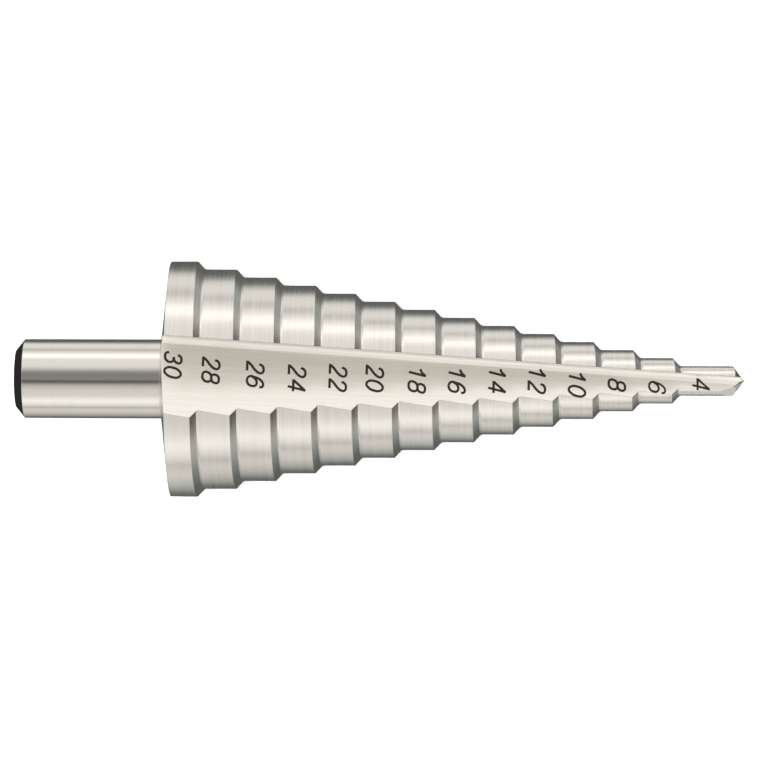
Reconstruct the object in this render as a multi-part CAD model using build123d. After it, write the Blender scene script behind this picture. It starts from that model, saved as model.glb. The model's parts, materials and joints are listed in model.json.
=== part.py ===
from build123d import *

import os
from math import atan2, cos, degrees, radians, sin, tan

os.makedirs("parts", exist_ok=True)

# A step drill ground from one bar. It is worked out along X, from the shank's
# end at X 0 to the tip, with one flute up and the other down, and set down on
# the ground at the end. Millimetres.

# Shank
shank_radius = 5.0
shank_end_chamfer_length = 1.1
shank_end_chamfer_depth = 1.35

# Steps, from the back of the largest to the pilot
largest_diameter = 30.0
diameter_drop = 2.0
step_count = 13
pilot_diameter = 4.0
back_rim_x = 19.7
back_dish_slope = 0.125
first_corner_x = 23.25
second_corner_x = 28.15
step_pitch = 5.0
chamfer_length = 0.9
root_blend_length = 0.15

# Relief ground behind each cutting edge: how far the centre of a land and the
# centre of a chamfer lie off the axis. A land's lies towards the cutting edge and
# a chamfer's ahead of it. The chamfers are relieved more, so their edge with the
# land falls back as well as in.
land_relief = 0.21
chamfer_relief = 0.44
chamfer_relief_lead = 20.0
cutting_edge_angle = 20.2

# Flute: a flat rake wall, and a face that leans down to it, runs straight along
# the steps and levels out near the tip
rake_wall_y = 5.41
rake_wall_slope = -0.0688
face_height = 11.15
face_taper = 0.164
face_lean = 0.67
face_runout_radius = 100.0
tip_web = 0.3
flute_corner_radius = 0.6

# Point. Behind each lip its flank falls away: the circle is the flank's outline
# one millimetre behind the tip. A flat takes off the heel of each flank.
tip_x = 91.9
point_angle = 118.0
flank_circle_radius = 1.135
flank_circle_offset = 0.535
heel_flat_x = 89.0
heel_flat_slope = 22.5
heel_flat_turn = 109.0

chamfer_drop = diameter_drop / 2
chamfer_slope = chamfer_drop / chamfer_length
blend_slope = tan(atan2(chamfer_drop, chamfer_length) / 2)
pilot_radius = pilot_diameter / 2
lip_corner_x = tip_x - pilot_radius / tan(radians(point_angle / 2))
from_start = (Align.CENTER, Align.CENTER, Align.MIN)


def corner_x(step):
    """Where a step's land meets its chamfer, on the cutting edge."""
    if step == 0:
        return first_corner_x
    return second_corner_x + (step - 1) * step_pitch


def away_from_axis(angle):
    """The direction square to the axis, at an angle behind the cutting edge."""
    turn = radians(cutting_edge_angle + angle)
    return Vector(0, sin(turn), cos(turn))


cutting_edge = away_from_axis(0)
land_offset = cutting_edge * land_relief
chamfer_offset = away_from_axis(-chamfer_relief_lead) * chamfer_relief
blend_offset = land_offset + (chamfer_offset - land_offset) * (blend_slope / chamfer_slope)


def along_axis(x, offset=Vector(0, 0, 0)):
    """The place of something that runs along X, moved off the axis."""
    return Pos(Vector(x, 0, 0) + offset) * Rot(Y=90)


def cone_through(x, radius, slope, start, end, offset):
    """A cone along X that passes a radius at x, on the cutting edge."""
    centred_radius = radius - offset.dot(cutting_edge)
    wide_end = centred_radius + (x - start) * slope
    narrow_end = centred_radius - (end - x) * slope
    return along_axis(start, offset) * Cone(wide_end, narrow_end, end - start, align=from_start)


def step_blank(step):
    """One step: its land, cut off by its chamfer, and the blend at the chamfer's root."""
    radius = (largest_diameter - step * diameter_drop) / 2
    corner = corner_x(step)
    root = corner + chamfer_length
    start = back_rim_x - 2.5 if step == 0 else corner_x(step - 1) - 1.5
    end = corner + 1.5 * chamfer_length
    land = Cylinder(radius - land_relief, end - start, align=from_start)
    chamfer = cone_through(corner, radius, chamfer_slope, start, end, chamfer_offset)
    blend = cone_through(
        root + root_blend_length,
        radius - chamfer_drop,
        blend_slope,
        corner - 0.5,
        root + 0.5,
        blend_offset,
    )
    return (along_axis(start, land_offset) * land & chamfer) + blend


# One tooth's outline, turned all the way round
pilot_start = corner_x(step_count - 1) - 1.5
pilot = Cylinder(pilot_radius - land_relief, tip_x - pilot_start, align=from_start)
tooth = along_axis(pilot_start, land_offset) * pilot
for step in range(step_count):
    tooth = tooth + step_blank(step)

# The back of the largest step is dished, from inside the shank out to the rim
dish_inner = shank_radius / 2
dish_outer = largest_diameter
dish_start = back_rim_x - (largest_diameter / 2 - dish_inner) * back_dish_slope
dish_end = back_rim_x + (dish_outer - largest_diameter / 2) * back_dish_slope
dish = Cone(dish_inner, dish_outer, dish_end - dish_start, align=from_start)
past_dish = Cylinder(dish_outer, tip_x, align=from_start)
tooth = tooth & (along_axis(dish_start) * dish + along_axis(dish_end) * past_dish)

# The point's flank is a cone that leans towards the lip
flank_length = 5.0
flank_start = tip_x - flank_length
flank_ring = Circle(flank_circle_radius * flank_length)
flank_ring = along_axis(flank_start, cutting_edge * flank_circle_offset * flank_length) * flank_ring
flank = loft([flank_ring.face(), Vertex(tip_x, 0, 0)])
before_flank = Cylinder(largest_diameter, flank_start, align=from_start)
tooth = tooth & (flank + along_axis(0) * before_flank)

# The heel flat starts on the pilot's land and falls towards the tip
heel_turn = away_from_axis(heel_flat_turn)
heel_radius = pilot_radius - land_relief + land_offset.dot(heel_turn)
heel_slope = radians(heel_flat_slope)
heel_flat = Plane(
    origin=Vector(heel_flat_x, 0, 0) + heel_turn * heel_radius,
    z_dir=Vector(sin(heel_slope), 0, 0) + heel_turn * cos(heel_slope),
)
off_heel = Box(3 * pilot_diameter, 3 * pilot_diameter, pilot_diameter, align=from_start)
tooth = tooth - heel_flat * off_heel

# Two teeth, half a turn apart, and the shank
cutting_half = Box(3 * tip_x, 60, 60, align=(Align.CENTER, Align.MIN, Align.CENTER))
tooth = tooth & cutting_half
shank_end = Cone(
    shank_radius - shank_end_chamfer_depth, shank_radius, shank_end_chamfer_length, align=from_start
)
shank = Cylinder(shank_radius, back_rim_x + 2 - shank_end_chamfer_length, align=from_start)
drill = tooth + Rot(X=180) * tooth
drill = drill + along_axis(shank_end_chamfer_length) * shank + along_axis(0) * shank_end

# Flute: the space above the leaning face, on the cutting side of the rake wall.
# Its side view is drawn at the axis, and drawn out along the lean.
taper_angle = atan2(face_taper, 1)
level_x = back_rim_x + (face_height - tip_web) / face_taper
level_x = level_x + face_runout_radius * tan(taper_angle / 2)
arc_start_x = level_x - face_runout_radius * sin(taper_angle)
arc_start_z = tip_web + face_runout_radius * (1 - cos(taper_angle))
flute_back_x = back_rim_x - 5
flute_back_z = face_height + 5 * face_taper
flute_top_z = largest_diameter
flute_width = largest_diameter
straight = Line((flute_back_x, 0, flute_back_z), (arc_start_x, 0, arc_start_z))
runout = TangentArc((arc_start_x, 0, arc_start_z), (level_x, 0, tip_web), tangent=straight % 1)
open_side = Polyline(
    (level_x, 0, tip_web),
    (level_x, 0, flute_top_z),
    (flute_back_x, 0, flute_top_z),
    (flute_back_x, 0, flute_back_z),
)
flute_side = make_face(straight + runout + open_side)
lean = Vector(0, 1, -face_lean)
flute = extrude(
    Pos(0, -flute_width, face_lean * flute_width) * flute_side,
    1.4 * flute_width * lean.length,
    dir=lean.normalized(),
)
wall_angle = degrees(atan2(rake_wall_slope, 1))
cutting_side = Box(3 * tip_x, 100, 300, align=(Align.CENTER, Align.MAX, Align.CENTER))
flute = flute & Pos(back_rim_x, rake_wall_y, 0) * Rot(Z=wall_angle) * cutting_side


def is_flute_corner(edge):
    """True for the edges where the leaning face meets the rake wall."""
    middle = edge.center()
    wall_y = rake_wall_y + rake_wall_slope * (middle.X - back_rim_x)
    return edge.length > 5 and abs(middle.Y - wall_y) < 0.01 and middle.Z < flute_top_z / 2


flute = fillet(flute.edges().filter_by(is_flute_corner), flute_corner_radius)
drill = drill - flute - Rot(X=180) * flute

# Set down as it comes to rest: on the lower flute's two edges, at the front of
# the largest step, and on one lip
rear_feet = [
    vertex
    for vertex in drill.vertices()
    if abs(vertex.X - first_corner_x) < 0.8 and vertex.Z < -largest_diameter / 3
]
rear_feet = sorted(rear_feet, key=lambda vertex: vertex.Y)
lip_corners = [vertex for vertex in drill.vertices() if abs(vertex.X - lip_corner_x) < 0.5]
front_foot = min(lip_corners, key=lambda vertex: vertex.Z)
across = Vector(*rear_feet[-1]) - Vector(*rear_feet[0])
forward = Vector(*front_foot) - Vector(*rear_feet[0])
up = forward.cross(across).normalized()
axis = Vector(1, 0, 0)
ground = Plane(origin=(0, 0, 0), x_dir=axis - up * axis.dot(up), z_dir=up)
drill = ground.to_local_coords(drill)
box = drill.bounding_box()
drill = Pos(-box.center().X, -box.center().Y, -box.min.Z) * drill

drill.label = "step_drill"
export_step(drill, "parts/step_drill.step")
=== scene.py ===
"""Dresses the step drill: ground finishes, size marks, and the studio that it lies in."""

import json
import logging
import math
from dataclasses import dataclass, field
from enum import Enum

import bpy
from mathutils import Matrix, Vector


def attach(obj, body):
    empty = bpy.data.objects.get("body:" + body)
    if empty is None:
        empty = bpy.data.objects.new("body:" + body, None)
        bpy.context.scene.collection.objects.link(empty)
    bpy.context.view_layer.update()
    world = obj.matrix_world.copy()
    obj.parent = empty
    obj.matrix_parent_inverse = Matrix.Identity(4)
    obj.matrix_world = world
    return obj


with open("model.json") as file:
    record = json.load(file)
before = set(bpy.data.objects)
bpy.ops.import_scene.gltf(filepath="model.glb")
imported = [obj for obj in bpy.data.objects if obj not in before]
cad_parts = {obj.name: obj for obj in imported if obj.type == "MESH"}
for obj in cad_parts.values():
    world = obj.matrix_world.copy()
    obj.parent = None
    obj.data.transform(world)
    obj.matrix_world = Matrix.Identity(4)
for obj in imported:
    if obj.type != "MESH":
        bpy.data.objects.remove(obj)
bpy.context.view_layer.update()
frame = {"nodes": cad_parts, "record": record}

MM = 0.001
IMAGE_WIDTH = 760
BODY = "root"

Colour = tuple[float, float, float, float]

log = logging.getLogger("step_drill")


# ---------------------------------------------------------------------------
# Sizes and place
# ---------------------------------------------------------------------------


@dataclass(frozen=True)
class DrillForm:
    """The sizes that the finishes need, in the drill's own axes and in millimetres.

    X runs from the shank's end to the tip, Y across towards the upper flute's cutting edge, and Z
    out of the upper flute. The values are the ones that the drill was modelled with.
    """

    end_chamfer_length: float = 1.1
    largest_diameter: float = 30.0
    back_rim_x: float = 19.7
    back_dish_slope: float = 0.125
    rake_wall_y: float = 5.41
    rake_wall_slope: float = -0.0688
    face_height: float = 11.15
    face_taper: float = 0.164
    face_lean: float = 0.67
    face_runout_radius: float = 100.0
    tip_web: float = 0.3
    flute_corner_radius: float = 0.6

    @property
    def face_level_x(self) -> float:
        """Where the flute's face has levelled out, near the tip."""
        straight_end = self.back_rim_x + (self.face_height - self.tip_web) / self.face_taper
        return straight_end + self.face_runout_radius * math.tan(math.atan(self.face_taper) / 2)

    @property
    def face_arc_length(self) -> float:
        """How long the flute's face takes to level out."""
        return self.face_runout_radius * math.sin(math.atan(self.face_taper))

    @property
    def face_arc_x(self) -> float:
        """Where the flute's straight face begins to level out."""
        return self.face_level_x - self.face_arc_length

    @property
    def face_arc_rise(self) -> float:
        """How fast the levelling face rises off the straight one, by the square of the distance."""
        drop = self.face_runout_radius * (1 - math.cos(math.atan(self.face_taper)))
        return (self.face_taper * self.face_arc_length - drop) / self.face_arc_length**2


@dataclass(frozen=True)
class DrillPlace:
    """Where the drill lies in the frame.

    Attributes:
        grip: The middle of the shank's round part, in metres.
        axis: The direction from the grip to the tip.
        grip_x: The grip's distance from the shank's end, in millimetres.
        turn: How far the drill has rolled about its axis as it came to rest, in degrees.
    """

    grip: Vector
    axis: Vector
    grip_x: float = 9.775
    turn: float = 1.886

    @classmethod
    def from_record(cls, record: dict) -> "DrillPlace":
        """Reads the shank's mount.

        Args:
            record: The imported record.

        Returns:
            The place that the shank's mount gives.
        """
        shank = next(mount for mount in record["mounts"] if mount["name"] == "shank")
        return cls(Vector(shank["pos_m"]), -Vector(shank["axis"]))

    @property
    def across(self) -> Vector:
        """The direction of the drill's own Y, towards the upper flute's cutting edge.

        Returns:
            A unit vector in the frame.
        """
        level = Vector((0, 1, 0))
        upward = self.axis.cross(level)
        turn = math.radians(self.turn)
        return level * math.cos(turn) - upward * math.sin(turn)

    @property
    def out_of_flute(self) -> Vector:
        """The direction of the drill's own Z, out of the upper flute."""
        return self.axis.cross(self.across)

    def matrix(self) -> Matrix:
        """Gives the matrix from the drill's own millimetres to the frame's metres.

        Returns:
            The matrix.
        """
        turned = Matrix((self.axis, self.across, self.out_of_flute)).transposed()
        start = self.grip - self.axis * self.grip_x * MM
        return Matrix.Translation(start) @ turned.to_4x4() @ Matrix.Scale(MM, 4)


# ---------------------------------------------------------------------------
# Node tools
# ---------------------------------------------------------------------------


class Signal:
    """A node's output socket, written in sums as a number is."""

    def __init__(self, graph: "NodeGraph", socket: bpy.types.NodeSocket) -> None:
        """Keeps the socket and the graph that it belongs to."""
        self.graph = graph
        self.socket = socket

    def __add__(self, other: "Signal | float") -> "Signal":
        """Adds."""
        return self.graph.math("ADD", self, other)

    def __radd__(self, other: float) -> "Signal":
        """Adds to a number."""
        return self.graph.math("ADD", other, self)

    def __sub__(self, other: "Signal | float") -> "Signal":
        """Takes away."""
        return self.graph.math("SUBTRACT", self, other)

    def __rsub__(self, other: float) -> "Signal":
        """Takes away from a number."""
        return self.graph.math("SUBTRACT", other, self)

    def __mul__(self, other: "Signal | float") -> "Signal":
        """Multiplies."""
        return self.graph.math("MULTIPLY", self, other)

    def __rmul__(self, other: float) -> "Signal":
        """Multiplies a number."""
        return self.graph.math("MULTIPLY", other, self)

    def __neg__(self) -> "Signal":
        """Turns the sign."""
        return self.graph.math("MULTIPLY", self, -1.0)

    def __abs__(self) -> "Signal":
        """Drops the sign."""
        return self.graph.math("ABSOLUTE", self)


class NodeGraph:
    """A shader or geometry node tree and short ways to add to it."""

    def __init__(self, tree: bpy.types.NodeTree) -> None:
        """Starts on an empty tree."""
        self.tree = tree
        tree.nodes.clear()

    def add(
        self, node_type: str, settings: dict | None = None, inputs: dict | None = None
    ) -> bpy.types.Node:
        """Adds a node.

        Args:
            node_type: The node's type.
            settings: Its properties, which are set first.
            inputs: Values or signals for its sockets, by name or number.

        Returns:
            The new node.
        """
        node = self.tree.nodes.new(node_type)
        for name, value in (settings or {}).items():
            setattr(node, name, value)
        for name, value in (inputs or {}).items():
            self.feed(node.inputs[name], value)
        return node

    def feed(self, socket: bpy.types.NodeSocket, value: object) -> None:
        """Links a signal to a socket, or sets its value.

        Args:
            socket: The socket.
            value: A signal to link, or a plain value.
        """
        if isinstance(value, Signal):
            self.tree.links.new(value.socket, socket)
        else:
            socket.default_value = value

    def signal(self, node: bpy.types.Node, output: str | int = 0) -> Signal:
        """Gives a node's output as a signal."""
        return Signal(self, node.outputs[output])

    def math(self, operation: str, *values: Signal | float) -> Signal:
        """Adds a Math node on one to three values."""
        node = self.add("ShaderNodeMath", {"operation": operation}, dict(enumerate(values)))
        return self.signal(node)

    def rise(self, value: Signal, low: float, high: float) -> Signal:
        """Rises smoothly from 0 to 1.

        Args:
            value: What is measured.
            low: Where the rise starts.
            high: Where it ends.

        Returns:
            A signal that is 0 below low and 1 above high.
        """
        node = self.add(
            "ShaderNodeMapRange",
            {"interpolation_type": "SMOOTHSTEP"},
            {"Value": value, "From Min": low, "From Max": high},
        )
        return self.signal(node, "Result")

    def near(self, value: Signal, centre: float, half_width: float, softness: float) -> Signal:
        """Gives 1 within half a width of a centre, and 0 past a soft edge."""
        away = abs(value - centre)
        return 1 - self.rise(away, half_width - softness, half_width + softness)

    def dot(self, vector: Signal, direction: Vector) -> Signal:
        """Gives how far a vector reaches along a direction.

        Args:
            vector: The vector.
            direction: A unit vector.

        Returns:
            The reach.
        """
        inputs = {0: vector, 1: direction}
        node = self.add("ShaderNodeVectorMath", {"operation": "DOT_PRODUCT"}, inputs)
        return self.signal(node, "Value")

    def mix_colour(self, factor: Signal | float, first: object, second: object) -> Signal:
        """Mixes two colours."""
        node = self.add("ShaderNodeMix", {"data_type": "RGBA"}, {0: factor, 6: first, 7: second})
        return self.signal(node, 2)

    def combine(self, x: Signal | float, y: Signal | float, z: Signal | float) -> Signal:
        """Makes a vector from three values."""
        return self.signal(self.add("ShaderNodeCombineXYZ", None, {0: x, 1: y, 2: z}))

    def noise(
        self, vector: Signal, scale: float = 1.0, detail: float = 2.0, roughness: float = 0.5
    ) -> Signal:
        """Makes noise.

        Args:
            vector: The place.
            scale: How many lumps there are to a unit of length.
            detail: How many finer layers are added.
            roughness: How strong the finer layers are.

        Returns:
            A signal round 0.5.
        """
        node = self.add(
            "ShaderNodeTexNoise",
            {"noise_dimensions": "3D"},
            {"Vector": vector, "Scale": scale, "Detail": detail, "Roughness": roughness},
        )
        return self.signal(node, 0)


# ---------------------------------------------------------------------------
# Finishes
# ---------------------------------------------------------------------------


@dataclass(frozen=True)
class LinePattern:
    """How closely grinding lines lie.

    Attributes:
        fine: How many of the fine lines there are to a millimetre.
        coarse: How many of the coarse ones.
        fine_reach: How fast the fine lines change along their length.
        coarse_reach: How fast the coarse ones do.
        weakest: The noise value that gives 0.
        strongest: The noise value that gives 1.
        fine_share: How much of the pattern the fine lines make.
    """

    fine: float
    coarse: float
    fine_reach: float
    coarse_reach: float
    weakest: float
    strongest: float
    fine_share: float = 0.6

    def blend(self, graph: NodeGraph, fine: Signal, coarse: Signal) -> Signal:
        """Adds the fine and the coarse noise and stretches the sum."""
        both = fine * self.fine_share + coarse * (1 - self.fine_share)
        return graph.rise(both, self.weakest, self.strongest)


@dataclass(frozen=True)
class GroundSteel:
    """Ground high-speed steel, with each face's own grinding lines and a near-black shank end.

    Attributes:
        form: The drill's sizes.
        place: Where it lies.
        dull: The steel's colour in the lines.
        bright: Its colour between them.
        black: The colour of the shank's end.
        edge_round: How far the edges look rounded, in millimetres.
        line_height: How high the lines stand, in millimetres.
        shank_polish: How much of the lines is polished off the shank.
        roughness: The roughness of a land, without lines.
        line_roughness: What the lines add to it.
        shank_smoothness: What the shank lacks of it.
        flute_roughness: What the flutes add to it.
        black_roughness: What the shank's near-black end adds to it.
        flute_mattness: The share of a flute's light that is scattered evenly.
        corner_mattness: The further share of it in a flute's corner.
        corner_width: How wide the corner is, in millimetres.
        corner_fade: How far its look fades out past that, in millimetres.
        turned: The lines round the drill.
        straight: The lines along a flute.
        flute_drift: How far the flute's lines move across it, for each millimetre along it.
        end_edge: How softly the near-black end meets the shank, in millimetres.
        back_edge: Between which distances ahead of the back a face isn't the back's, in
            millimetres.
        shank_edge: Between which distances ahead of the back the shank ends.
        floor_edge: Between which distances above a flute's floor its finish starts.
        wall_edge: Between which distances past a flute's rake wall its finish ends.
    """

    form: DrillForm
    place: DrillPlace
    dull: Colour = (0.735, 0.705, 0.652, 1.0)
    bright: Colour = (0.805, 0.773, 0.718, 1.0)
    black: Colour = (0.010, 0.009, 0.009, 1.0)
    edge_round: float = 0.13
    line_height: float = 0.0005
    shank_polish: float = 0.7
    roughness: float = 0.23
    line_roughness: float = 0.05
    shank_smoothness: float = 0.05
    flute_roughness: float = 0.17
    black_roughness: float = 0.25
    flute_mattness: float = 0.2
    corner_mattness: float = 0.24
    corner_width: float = 0.86
    corner_fade: float = 0.14
    turned: LinePattern = LinePattern(9.0, 2.2, 0.8, 0.5, 0.3, 0.7)
    straight: LinePattern = LinePattern(7.0, 2.0, 0.12, 0.05, 0.36, 0.64)
    flute_drift: float = 0.035
    end_edge: float = 0.02
    back_edge: tuple[float, float] = (0.01, 0.04)
    shank_edge: tuple[float, float] = (-0.06, -0.03)
    floor_edge: tuple[float, float] = (-0.05, -0.02)
    wall_edge: tuple[float, float] = (0.01, 0.03)

    def build(self) -> bpy.types.Material:
        """Makes the material.

        Returns:
            The new material.
        """
        material = bpy.data.materials.new("ground_steel_finish")
        material.use_nodes = True
        graph = NodeGraph(material.node_tree)
        x, y, z = self.drill_axes(graph)
        radius = graph.math("SQRT", y * y + z * z)
        past_back = x - self.back_x(radius)
        above_back = graph.rise(past_back, *self.back_edge)
        in_flute, in_corner = (mask * above_back for mask in self.flute_masks(graph, x, y, z))
        on_shank = 1 - graph.rise(past_back, *self.shank_edge)
        end_x = self.form.end_chamfer_length
        # The end chamfer, up to its length, is coloured near-black, matt and not metallic.
        near_black_end = 1 - graph.rise(x, end_x - self.end_edge, end_x + self.end_edge)
        on_back = 1 - above_back - on_shank
        turned = self.turned_lines(graph, x + on_back * radius, y, z, radius)
        along = self.flute_lines(graph, x, y)
        lines = turned + in_flute * (along - turned)
        lines = lines + on_shank * (0.5 - lines) * self.shank_polish
        tint = graph.mix_colour(lines, self.dull, self.bright)
        colour = graph.mix_colour(near_black_end, tint, self.black)
        roughness = self.roughness + lines * self.line_roughness - on_shank * self.shank_smoothness
        roughness = roughness + in_flute * self.flute_roughness + near_black_end * self.black_roughness
        metallic = 1 - near_black_end - in_flute * self.flute_mattness - in_corner * self.corner_mattness
        edges = graph.add("ShaderNodeBevel", {"samples": 6}, {"Radius": self.edge_round * MM})
        bump = graph.add(
            "ShaderNodeBump",
            None,
            {
                "Strength": 1.0,
                "Distance": self.line_height * MM,
                "Height": lines,
                "Normal": graph.signal(edges),
            },
        )
        shader = graph.add(
            "ShaderNodeBsdfPrincipled",
            None,
            {
                "Base Color": colour,
                "Metallic": metallic,
                "Roughness": roughness,
                "Specular IOR Level": 0.1,
                "Normal": graph.signal(bump),
            },
        )
        graph.add("ShaderNodeOutputMaterial", None, {"Surface": graph.signal(shader)})
        return material

    def drill_axes(self, graph: NodeGraph) -> tuple[Signal, Signal, Signal]:
        """Turns a place on the drill into its own axes.

        Args:
            graph: The material's graph.

        Returns:
            X, Y and Z in millimetres.
        """
        place = graph.signal(graph.add("ShaderNodeTexCoord"), "Object")
        matrix = self.place.matrix()
        mapping = graph.add(
            "ShaderNodeMapping",
            {"vector_type": "TEXTURE"},
            {
                "Vector": place,
                "Location": matrix.to_translation(),
                "Rotation": matrix.to_3x3().normalized().to_euler(),
                "Scale": (MM, MM, MM),
            },
        )
        split = graph.add("ShaderNodeSeparateXYZ", None, {0: graph.signal(mapping)})
        return graph.signal(split, 0), graph.signal(split, 1), graph.signal(split, 2)

    def back_x(self, radius: Signal) -> Signal:
        """Gives where the dished back lies at a distance from the axis."""
        rim = self.form.largest_diameter / 2
        return (radius - rim) * self.form.back_dish_slope + self.form.back_rim_x

    def flute_masks(
        self, graph: NodeGraph, x: Signal, y: Signal, z: Signal
    ) -> tuple[Signal, Signal]:
        """Finds the flutes, where the grinding is matter than on the lands.

        Args:
            graph: The material's graph.
            x: The place along the drill, in millimetres.
            y: The place across it, towards the upper flute's cutting edge.
            z: The place above its axis.

        Returns:
            A signal that is 1 on the faces, corners and rake walls of both flutes, and one that
            is 1 on their corners alone.
        """
        form = self.form
        straight = form.face_height - (x - form.back_rim_x) * form.face_taper
        past_arc = graph.math("MAXIMUM", x - form.face_arc_x, 0.0)
        height = straight + past_arc * past_arc * form.face_arc_rise
        wall = (x - form.back_rim_x) * form.rake_wall_slope + form.rake_wall_y
        above = z + y * form.face_lean
        upper = graph.rise(above - height, *self.floor_edge)
        upper = upper * (1 - graph.rise(y - wall, *self.wall_edge))
        lower = graph.rise(-above - height, *self.floor_edge)
        lower = lower * (1 - graph.rise(-y - wall, *self.wall_edge))
        clear = self.corner_width + self.corner_fade
        upper_corner = upper * graph.rise(y - wall, -clear, -self.corner_width)
        lower_corner = lower * graph.rise(-y - wall, -clear, -self.corner_width)
        return graph.math("MAXIMUM", upper, lower), upper_corner + lower_corner

    def turned_lines(
        self, graph: NodeGraph, along: Signal, y: Signal, z: Signal, radius: Signal
    ) -> Signal:
        """Gives lines round the drill, as the wheel leaves on lands, chamfers and the back.

        Args:
            graph: The material's graph.
            along: The place across the lines, in millimetres.
            y: The place across the drill.
            z: The place above its axis.
            radius: The distance from the axis.

        Returns:
            A signal from 0 to 1.
        """
        lines = self.turned
        side = graph.math("DIVIDE", y, radius)
        above = graph.math("DIVIDE", z, radius)
        fine = graph.noise(
            graph.combine(along * lines.fine, side * lines.fine_reach, above * lines.fine_reach)
        )
        coarse = graph.noise(
            graph.combine(
                along * lines.coarse, side * lines.coarse_reach, above * lines.coarse_reach + 4.0
            )
        )
        return lines.blend(graph, fine, coarse)

    def flute_lines(self, graph: NodeGraph, x: Signal, y: Signal) -> Signal:
        """Gives lines along a flute's face.

        Args:
            graph: The material's graph.
            x: The place along the drill, in millimetres.
            y: The place across it.

        Returns:
            A signal from 0 to 1.
        """
        lines = self.straight
        offset = y + x * self.flute_drift
        fine = graph.noise(graph.combine(x * lines.fine_reach, offset * lines.fine, 9.0))
        coarse = graph.noise(graph.combine(x * lines.coarse_reach, offset * lines.coarse, 2.0))
        return lines.blend(graph, fine, coarse)


@dataclass(frozen=True)
class EtchedMark:
    """The dark, matt finish of an etched size mark, with its grain in lumps to a metre."""

    colour: Colour = (0.012, 0.010, 0.009, 1.0)
    faded: Colour = (0.030, 0.026, 0.023, 1.0)
    grain_scale: float = 4000.0
    roughness: float = 0.6
    grain_roughness: float = 0.2

    def build(self) -> bpy.types.Material:
        """Makes the material.

        Returns:
            The new material.
        """
        material = bpy.data.materials.new("etched_mark_finish")
        material.use_nodes = True
        graph = NodeGraph(material.node_tree)
        place = graph.signal(graph.add("ShaderNodeTexCoord"), "Object")
        grain = graph.noise(place, self.grain_scale, 3.0)
        shader = graph.add(
            "ShaderNodeBsdfPrincipled",
            None,
            {
                "Base Color": graph.mix_colour(grain, self.colour, self.faded),
                "Roughness": self.roughness + grain * self.grain_roughness,
                "Specular IOR Level": 0.1,
            },
        )
        graph.add("ShaderNodeOutputMaterial", None, {"Surface": graph.signal(shader)})
        return material


@dataclass(frozen=True)
class FloorPaper:
    """Matt white paper, with its fibres in lumps to a metre."""

    colour: Colour = (0.86, 0.86, 0.85, 1.0)
    fibre_colour: Colour = (0.88, 0.88, 0.875, 1.0)
    fibre_scale: float = 900.0

    def build(self) -> bpy.types.Material:
        """Makes the material.

        Returns:
            The new material.
        """
        material = bpy.data.materials.new("floor_paper")
        material.use_nodes = True
        graph = NodeGraph(material.node_tree)
        place = graph.signal(graph.add("ShaderNodeTexCoord"), "Object")
        fibre = graph.noise(place, self.fibre_scale, 3.0)
        shader = graph.add(
            "ShaderNodeBsdfPrincipled",
            None,
            {
                "Base Color": graph.mix_colour(fibre, self.colour, self.fibre_colour),
                "Roughness": 0.9,
            },
        )
        graph.add("ShaderNodeOutputMaterial", None, {"Surface": graph.signal(shader)})
        return material


# ---------------------------------------------------------------------------
# Pieces
# ---------------------------------------------------------------------------


@dataclass
class DrillBody:
    """The drill itself, ground from one bar."""

    node: bpy.types.Object
    finish: GroundSteel

    def dress(self) -> bpy.types.Object:
        """Gives the drill its finish.

        Returns:
            The dressed node.
        """
        material = self.finish.build()
        for slot in self.node.material_slots:
            slot.material = material
        return self.node


class Ends(Enum):
    """Whether a digit's stroke is a loop."""

    OPEN = False
    LOOP = True


@dataclass(frozen=True)
class Stroke:
    """One pull of the marking tool, through points in a digit one unit high.

    Attributes:
        points: The points that the stroke passes, x to the right and y up.
        ends: Whether it closes on itself.
    """

    points: tuple[tuple[float, float], ...]
    ends: Ends = Ends.OPEN


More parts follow.
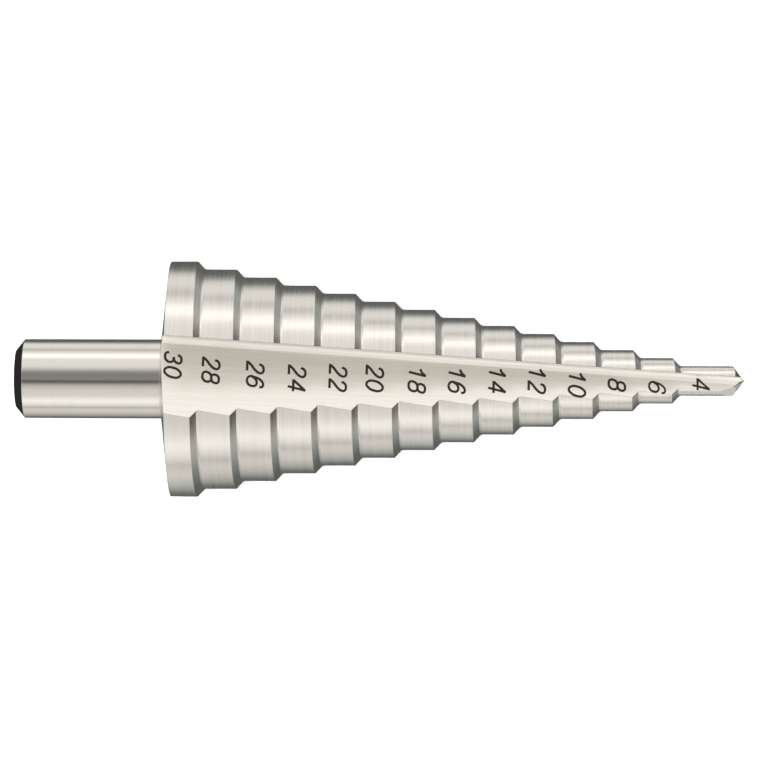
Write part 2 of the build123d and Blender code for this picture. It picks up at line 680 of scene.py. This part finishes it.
DIGITS: dict[str, tuple[Stroke, ...]] = {
    "0": (
        Stroke(
            (
                (0.0, 0.5), (0.08, 0.85), (0.29, 1.0), (0.5, 0.85),
                (0.58, 0.5), (0.5, 0.15), (0.29, 0.0), (0.08, 0.15),
            ),
            Ends.LOOP,
        ),
    ),
    "1": (
        Stroke(((0.36, 0.0), (0.36, 1.04))),
        Stroke(((0.02, 0.69), (0.23, 0.82), (0.34, 0.99))),
    ),
    "2": (
        Stroke(
            (
                (0.04, 0.72), (0.1, 0.92), (0.31, 1.0), (0.52, 0.92),
                (0.57, 0.74), (0.46, 0.5), (0.17, 0.2), (0.05, 0.0),
            ),
        ),
        Stroke(((0.0, 0.0), (0.6, 0.0))),
    ),
    "3": (
        Stroke(
            (
                (0.03, 0.78), (0.12, 0.95), (0.3, 1.0), (0.5, 0.92),
                (0.53, 0.72), (0.42, 0.57), (0.22, 0.53),
            ),
        ),
        Stroke(
            (
                (0.22, 0.53), (0.48, 0.48), (0.58, 0.3), (0.5, 0.07),
                (0.28, 0.0), (0.08, 0.06), (0.0, 0.24),
            ),
        ),
    ),
    "4": (
        Stroke(((0.46, -0.04), (0.46, 1.04))),
        Stroke(((0.46, 1.0), (0.0, 0.29))),
        Stroke(((-0.04, 0.29), (0.69, 0.29))),
    ),
    "6": (
        Stroke(
            (
                (0.55, 0.78), (0.48, 0.95), (0.31, 1.0), (0.1, 0.84),
                (0.01, 0.46), (0.05, 0.14), (0.29, 0.0),
            ),
        ),
        Stroke(
            (
                (0.29, 0.0), (0.52, 0.1), (0.58, 0.33), (0.5, 0.54),
                (0.31, 0.61), (0.12, 0.53), (0.02, 0.34),
            ),
        ),
    ),
    "8": (
        Stroke(
            (
                (0.29, 1.0), (0.49, 0.93), (0.54, 0.77), (0.48, 0.6),
                (0.29, 0.54), (0.1, 0.6), (0.04, 0.77), (0.09, 0.93),
            ),
            Ends.LOOP,
        ),
        Stroke(
            (
                (0.29, 0.54), (0.51, 0.46), (0.58, 0.27), (0.51, 0.07),
                (0.29, 0.0), (0.07, 0.07), (0.0, 0.27), (0.07, 0.46),
            ),
            Ends.LOOP,
        ),
    ),
}


@dataclass(frozen=True)
class MarkPlace:
    """Where a size mark is centred on the flute's face, in the drill's own axes."""

    size: int
    x: float
    y: float


MARK_PLACES = (
    MarkPlace(30, 20.52, 1.70),
    MarkPlace(28, 25.24, 1.06),
    MarkPlace(26, 30.72, 0.57),
    MarkPlace(24, 35.91, 0.12),
    MarkPlace(22, 40.99, 0.20),
    MarkPlace(20, 45.56, 0.12),
    MarkPlace(18, 50.81, -0.03),
    MarkPlace(16, 55.76, -0.05),
    MarkPlace(14, 60.81, 0.01),
    MarkPlace(12, 65.80, 0.03),
    MarkPlace(10, 70.83, -0.46),
    MarkPlace(8, 75.84, -0.61),
    MarkPlace(6, 80.88, -0.87),
    MarkPlace(4, 86.44, -0.46),
)


@dataclass
class SizeMarks:
    """The size marks etched on the faces of both flutes, each beside its own step.

    Attributes:
        form: The drill's sizes.
        place: Where it lies.
        finish: The marks' finish.
        digit_height: A digit's height, along the drill, in millimetres.
        digit_pitch: How far one digit of a mark stands from the next.
        digit_width: A digit's width, as a share of its height.
        slant: How far a digit leans, as a share of its height.
        line_width: How wide the strokes are, in millimetres.
        line_thickness: How thick they are.
        line_sides: How many sides a stroke's section has.
        glyphs: The curves of the digits, while the marks are made.
    """

    form: DrillForm
    place: DrillPlace
    finish: EtchedMark
    digit_height: float = 2.05
    digit_pitch: float = 1.8
    digit_width: float = 0.6
    slant: float = 0.25
    line_width: float = 0.31
    line_thickness: float = 0.04
    line_sides: int = 8
    glyphs: list[bpy.types.Object] = field(default_factory=list)

    def build(self) -> bpy.types.Object:
        """Makes the marks as one mesh.

        Returns:
            The finished piece.
        """
        seats = self.digit_seats()
        modifier = seats.modifiers.new("etch", "NODES")
        modifier.node_group = self.etching_tree()
        settings = self.settings()
        for item in modifier.node_group.interface.items_tree:
            if item.item_type == "SOCKET" and item.in_out == "INPUT" and item.name in settings:
                modifier[item.identifier] = settings[item.name]
        evaluated = seats.evaluated_get(bpy.context.evaluated_depsgraph_get())
        mesh = bpy.data.meshes.new_from_object(evaluated)
        mesh.transform(self.place.matrix())
        piece = bpy.data.objects.new("size_marks", mesh)
        bpy.context.scene.collection.objects.link(piece)
        for helper in (seats, *self.glyphs):
            bpy.data.objects.remove(helper)
        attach(piece, BODY)
        return piece

    def settings(self) -> dict[str, float]:
        """Gives the named inputs of the etching tree.

        Returns:
            The inputs' values by their names.
        """
        return {
            "Digit Height": self.digit_height,
            "Line Width": self.line_width,
            "Line Thickness": self.line_thickness,
            "Face Height": self.form.face_height,
            "Face Start": self.form.back_rim_x,
            "Face Taper": self.form.face_taper,
            "Face Lean": self.form.face_lean,
            "Arc Start": self.form.face_arc_x,
            "Arc Rise": self.form.face_arc_rise,
            "Wall Offset": self.form.rake_wall_y,
            "Wall Slope": self.form.rake_wall_slope,
            "Corner Radius": self.form.flute_corner_radius,
        }

    def digit_seats(self) -> bpy.types.Object:
        """Makes a point for each digit, at its lower left corner, with the digit's number.

        Returns:
            The points' object.
        """
        kinds = sorted(DIGITS)
        points = []
        numbers = []
        for mark in MARK_PLACES:
            digits = str(mark.size)
            length = (len(digits) - 1) * self.digit_pitch + self.digit_width * self.digit_height
            for place, digit in enumerate(digits):
                across = mark.y + length / 2 - place * self.digit_pitch
                points.append((mark.x - self.digit_height / 2, across, 0.0))
                numbers.append(kinds.index(digit))
        mesh = bpy.data.meshes.new("digit_seats")
        mesh.from_pydata(points, [], [])
        mesh.attributes.new("digit", "INT", "POINT").data.foreach_set("value", numbers)
        seats = bpy.data.objects.new("digit_seats", mesh)
        bpy.context.scene.collection.objects.link(seats)
        return seats

    def digit_collection(self) -> bpy.types.Collection:
        """Makes a curve for each kind of digit.

        Returns:
            The curves' collection.
        """
        collection = bpy.data.collections.new("digits")
        for name in sorted(DIGITS):
            curve = bpy.data.curves.new("digit_" + name, "CURVE")
            curve.dimensions = "3D"
            curve.resolution_u = 5
            for stroke in DIGITS[name]:
                self.add_stroke(curve, stroke)
            glyph = bpy.data.objects.new("digit_" + name, curve)
            collection.objects.link(glyph)
            self.glyphs.append(glyph)
        return collection

    def add_stroke(self, curve: bpy.types.Curve, stroke: Stroke) -> None:
        """Adds one stroke to a digit's curve.

        Args:
            curve: The digit's curve.
            stroke: The stroke.
        """
        spline = curve.splines.new("BEZIER")
        spline.bezier_points.add(len(stroke.points) - 1)
        for knot, (x, y) in zip(spline.bezier_points, stroke.points):
            knot.co = (x + self.slant * (y - 0.5), y, 0.0)
            knot.handle_left_type = "AUTO"
            knot.handle_right_type = "AUTO"
        spline.use_cyclic_u = stroke.ends.value

    def etching_tree(self) -> bpy.types.NodeTree:
        """Builds the tree that lays the digits on the leaning faces of both flutes.

        Returns:
            The tree.
        """
        tree = bpy.data.node_groups.new("etched_size_marks", "GeometryNodeTree")
        tree.interface.new_socket("Geometry", in_out="INPUT", socket_type="NodeSocketGeometry")
        tree.interface.new_socket("Geometry", in_out="OUTPUT", socket_type="NodeSocketGeometry")
        for name in self.settings():
            tree.interface.new_socket(name, in_out="INPUT", socket_type="NodeSocketFloat")
        graph = NodeGraph(tree)
        given = graph.add("NodeGroupInput")
        size = {name: graph.signal(given, name) for name in self.settings()}
        strokes = self.flat_strokes(graph, graph.signal(given, "Geometry"), size)
        split = graph.add(
            "ShaderNodeSeparateXYZ", None, {0: graph.signal(graph.add("GeometryNodeInputPosition"))}
        )
        x, y, z = (graph.signal(split, number) for number in range(3))
        thinned = z * graph.math("DIVIDE", size["Line Thickness"], size["Line Width"])
        height = self.face_height(graph, size, x, y) + thinned
        upper = graph.add(
            "GeometryNodeSetPosition",
            None,
            {"Geometry": strokes, "Position": graph.combine(x, y, height)},
        )
        lower = graph.add(
            "GeometryNodeTransform",
            None,
            {"Geometry": graph.signal(upper), "Rotation": (math.pi, 0.0, 0.0)},
        )
        both = graph.add("GeometryNodeJoinGeometry")
        for side in (upper, lower):
            graph.tree.links.new(side.outputs[0], both.inputs[0])
        whole = graph.add("GeometryNodeRealizeInstances", None, {0: graph.signal(both)})
        dressed = graph.add(
            "GeometryNodeSetMaterial",
            None,
            {"Geometry": graph.signal(whole), "Material": self.finish.build()},
        )
        graph.add("NodeGroupOutput", None, {0: graph.signal(dressed)})
        return tree

    def flat_strokes(self, graph: NodeGraph, seats: Signal, size: dict[str, Signal]) -> Signal:
        """Lays the digits out flat, as strokes with a round section.

        Args:
            graph: The tree's graph.
            seats: The digits' points.
            size: The tree's named inputs.

        Returns:
            The strokes' mesh.
        """
        digits = graph.add(
            "GeometryNodeCollectionInfo",
            {"transform_space": "ORIGINAL"},
            {
                "Collection": self.digit_collection(),
                "Separate Children": True,
                "Reset Children": True,
            },
        )
        number = graph.add(
            "GeometryNodeInputNamedAttribute", {"data_type": "INT"}, {"Name": "digit"}
        )
        laid = graph.add(
            "GeometryNodeInstanceOnPoints",
            None,
            {
                "Points": seats,
                "Instance": graph.signal(digits),
                "Pick Instance": True,
                "Instance Index": graph.signal(number, "Attribute"),
                "Rotation": (0.0, 0.0, -math.pi / 2),
                "Scale": graph.combine(size["Digit Height"], size["Digit Height"], 1.0),
            },
        )
        lines = graph.add("GeometryNodeRealizeInstances", None, {0: graph.signal(laid)})
        pen = graph.add(
            "GeometryNodeCurvePrimitiveCircle",
            None,
            {"Resolution": self.line_sides, "Radius": size["Line Width"] * 0.5},
        )
        tube = graph.add(
            "GeometryNodeCurveToMesh",
            None,
            {"Curve": graph.signal(lines), "Profile Curve": graph.signal(pen), "Fill Caps": True},
        )
        return graph.signal(tube)

    def face_height(
        self, graph: NodeGraph, size: dict[str, Signal], x: Signal, y: Signal
    ) -> Signal:
        """Works out how high the upper flute's floor stands.

        Args:
            graph: The tree's graph.
            size: The tree's named inputs.
            x: The place along the drill.
            y: The place across it.

        Returns:
            The height of the leaning face, its runout and the corner at the rake wall.
        """
        straight = size["Face Height"] - (x - size["Face Start"]) * size["Face Taper"]
        past_arc = graph.math("MAXIMUM", x - size["Arc Start"], 0.0)
        levelled = past_arc * past_arc * size["Arc Rise"]
        face = straight + levelled - y * size["Face Lean"]
        radius = size["Corner Radius"]
        wall = (x - size["Face Start"]) * size["Wall Slope"] + size["Wall Offset"]
        to_centre = y - wall + radius
        steepness = graph.math("SQRT", size["Face Lean"] * size["Face Lean"] + 1.0)
        reach = graph.math("MAXIMUM", radius * radius - to_centre * to_centre, 0.0)
        corner = radius * steepness + to_centre * size["Face Lean"] - graph.math("SQRT", reach)
        corner_start = -radius * graph.math("DIVIDE", size["Face Lean"], steepness)
        return face + corner * graph.math("GREATER_THAN", to_centre, corner_start)


# ---------------------------------------------------------------------------
# Studio
# ---------------------------------------------------------------------------


@dataclass(frozen=True)
class LightBand:
    """A lit strip of the light tent, seen round the drill's axis.

    Attributes:
        centre: The angle of its middle from straight above, in degrees, plus towards the
            cutting edge.
        half_width: Half its width, in degrees.
        softness: How far its edges fade, in degrees.
        strength: How bright it is.
    """

    centre: float
    half_width: float
    softness: float
    strength: float

    def light(self, graph: NodeGraph, angle: Signal) -> Signal:
        """Gives the light that the band adds at an angle round the drill."""
        return graph.near(angle, self.centre, self.half_width, self.softness) * self.strength


@dataclass(frozen=True)
class LightTent:
    """Soft light from a tent round the drill, with a gap above for the camera.

    Attributes:
        place: Where the drill lies.
        background: The light that the tent gives all round, before the bands.
        bands: The bands that run the tent's whole length. A dark one takes light away.
        forward_bands: The bands on its part ahead of the drill's chamfers.
        forward_middle: Where that part is, as a share of the way forward.
        forward_reach: Half its length, which is also how far it fades.
        least_light: The light of the darkest part.
        end_starts: How far forward the tent's dark end starts.
        end_ends: How far forward it is quite dark.
        light_colour: The colour of the light from above and the sides.
        shade_colour: Its colour from below.
        shade_starts: The angle from straight above where that colour starts, in degrees.
        shade_ends: The angle where it is full.
        overhead_strength: The strength of the lamp that whitens the floor.
        overhead_softness: The lamp's width as seen from the floor, in degrees.
    """

    place: DrillPlace
    background: float = 0.122
    bands: tuple[LightBand, ...] = (
        LightBand(60.0, 64.8, 3.1, 0.13),
        LightBand(77.3, 50.7, 10.0, 0.71),
        LightBand(70.5, 6.6, 3.0, 0.64),
        LightBand(93.4, 4.2, 2.0, -0.48),
        LightBand(-80.0, 60.0, 15.0, 0.44),
        LightBand(-60.0, 58.0, 10.0, 0.25),
        LightBand(-69.3, 8.6, 16.0, 0.54),
        LightBand(-92.8, 2.0, 2.0, -0.57),
        LightBand(-9.1, 4.8, 1.3, -0.38),
    )
    forward_bands: tuple[LightBand, ...] = (
        LightBand(140.8, 5.7, 5.5, 0.48),
        LightBand(-128.1, 11.4, 9.2, -0.15),
    )
    forward_middle: float = 0.55
    forward_reach: float = 0.15
    least_light: float = 0.03
    end_starts: float = 0.795
    end_ends: float = 0.953
    light_colour: Colour = (1.0, 0.99, 0.975, 1.0)
    shade_colour: Colour = (0.95, 1.0, 0.985, 1.0)
    shade_starts: float = 105.0
    shade_ends: float = 140.0
    overhead_strength: float = 4.0
    overhead_softness: float = 12.0

    def build(self) -> None:
        """Makes the tent and the overhead lamp."""
        self.build_tent()
        self.build_lamp()

    def build_tent(self) -> None:
        """Makes the tent, as light that depends on where it comes from."""
        world = bpy.data.worlds.new("light_tent")
        world.use_nodes = True
        bpy.context.scene.world = world
        graph = NodeGraph(world.node_tree)
        direction = graph.signal(graph.add("ShaderNodeTexCoord"), "Generated")
        along = graph.dot(direction, self.place.axis)
        across = graph.dot(direction, self.place.across)
        above = graph.dot(direction, self.place.out_of_flute)
        angle = graph.math("ARCTAN2", across, above) * (180 / math.pi)
        light = self.background
        for band in self.bands:
            light = light + band.light(graph, angle)
        forward = graph.near(along, self.forward_middle, self.forward_reach, self.forward_reach)
        for band in self.forward_bands:
            light = light + band.light(graph, angle) * forward
        before_end = 1 - graph.rise(along, self.end_starts, self.end_ends)
        light = graph.math("MAXIMUM", light, self.least_light) * before_end
        shade = graph.rise(abs(angle), self.shade_starts, self.shade_ends)
        colour = graph.mix_colour(shade, self.light_colour, self.shade_colour)
        glow = graph.add("ShaderNodeBackground", None, {"Color": colour, "Strength": light})
        graph.add("ShaderNodeOutputWorld", None, {"Surface": graph.signal(glow)})

    def build_lamp(self) -> None:
        """Makes the overhead lamp, which the steel doesn't mirror."""
        lamp = bpy.data.lights.new("overhead", "SUN")
        lamp.energy = self.overhead_strength
        lamp.angle = math.radians(self.overhead_softness)
        overhead = bpy.data.objects.new("overhead", lamp)
        overhead.rotation_mode = "QUATERNION"
        overhead.rotation_quaternion = self.place.out_of_flute.to_track_quat("Z", "Y")
        overhead.visible_glossy = False
        bpy.context.scene.collection.objects.link(overhead)


@dataclass(frozen=True)
class Floor:
    """The pale floor that the drill lies on, with its half width in metres."""

    finish: FloorPaper
    half_width: float = 6.0

    def build(self) -> bpy.types.Object:
        """Makes the floor.

        Returns:
            The floor.
        """
        mesh = bpy.data.meshes.new("floor")
        reach = self.half_width
        corners = [(-reach, -reach, 0), (reach, -reach, 0), (reach, reach, 0), (-reach, reach, 0)]
        mesh.from_pydata(corners, [], [(0, 1, 2, 3)])
        mesh.materials.append(self.finish.build())
        floor = bpy.data.objects.new("floor", mesh)
        floor.visible_glossy = False
        bpy.context.scene.collection.objects.link(floor)
        return floor


@dataclass(frozen=True)
class CameraStand:
    """The camera, above the drill and square to its axis but for a small lean to the tip.

    Attributes:
        place: Where the drill lies.
        aim_x: The place on the drill's axis that it looks at, in millimetres.
        distance: How far it stands from there, in millimetres.
        lean: How far it leans towards the tip, in degrees.
        roll: How far it is turned about its own line of sight, in degrees.
        pixels_per_mm: How large the drill's axis is in the image.
        shift_right: How far it stands to the right of that place, in the image's pixels.
        shift_up: How far it stands above it, in the image's pixels.
        sensor: The width of the sensor, in millimetres.
        clip: The nearest and the farthest distance that it sees, in metres.
    """

    place: DrillPlace
    aim_x: float = 46.03
    distance: float = 630.0
    lean: float = 1.8186
    roll: float = 0.2137
    pixels_per_mm: float = 7.92
    shift_right: float = -0.25
    shift_up: float = -0.2
    sensor: float = 36.0
    clip: tuple[float, float] = (0.01, 50.0)

    def build(self) -> bpy.types.Object:
        """Makes the camera and hands it to the scene.

        Returns:
            The camera.
        """
        lens = bpy.data.cameras.new("camera")
        lens.sensor_width = self.sensor
        lens.lens = self.sensor * self.pixels_per_mm * self.distance / IMAGE_WIDTH
        lens.clip_start, lens.clip_end = self.clip
        camera = bpy.data.objects.new("camera", lens)
        bpy.context.scene.collection.objects.link(camera)
        lean = math.radians(self.lean)
        roll = math.radians(self.roll)
        back = Vector((math.sin(lean), 0, math.cos(lean)))
        level = Vector((math.cos(lean), 0, -math.sin(lean)))
        upright = Vector((0, 1, 0))
        right = level * math.cos(roll) + upright * math.sin(roll)
        up = upright * math.cos(roll) - level * math.sin(roll)
        aim = Vector((self.aim_x, 0, 0)) + back * self.distance
        aim = aim + (right * self.shift_right + up * self.shift_up) / self.pixels_per_mm
        turned = Matrix((right, up, back)).transposed().to_4x4()
        drill = self.place.matrix()
        camera.location = drill @ aim
        camera.rotation_mode = "QUATERNION"
        camera.rotation_quaternion = (drill.to_3x3().normalized() @ turned.to_3x3()).to_quaternion()
        bpy.context.scene.camera = camera
        return camera


def main() -> None:
    """Dresses the drill and sets up its studio."""
    logging.basicConfig(level=logging.INFO, format="%(name)s: %(message)s")
    form = DrillForm()
    place = DrillPlace.from_record(frame["record"])
    body = DrillBody(frame["nodes"]["step_drill"], GroundSteel(form, place)).dress()
    log.info("dressed %s, %d faces", body.name, len(body.data.polygons))
    marks = SizeMarks(form, place, EtchedMark()).build()
    log.info("made %s, %d faces", marks.name, len(marks.data.polygons))
    floor = Floor(FloorPaper()).build()
    log.info("laid %s", floor.name)
    LightTent(place).build()
    camera = CameraStand(place).build()
    log.info("set up %s, lens %.0f mm", camera.name, camera.data.lens)
    bpy.context.scene.view_settings.view_transform = "Standard"


if __name__ == "__main__":
    main()
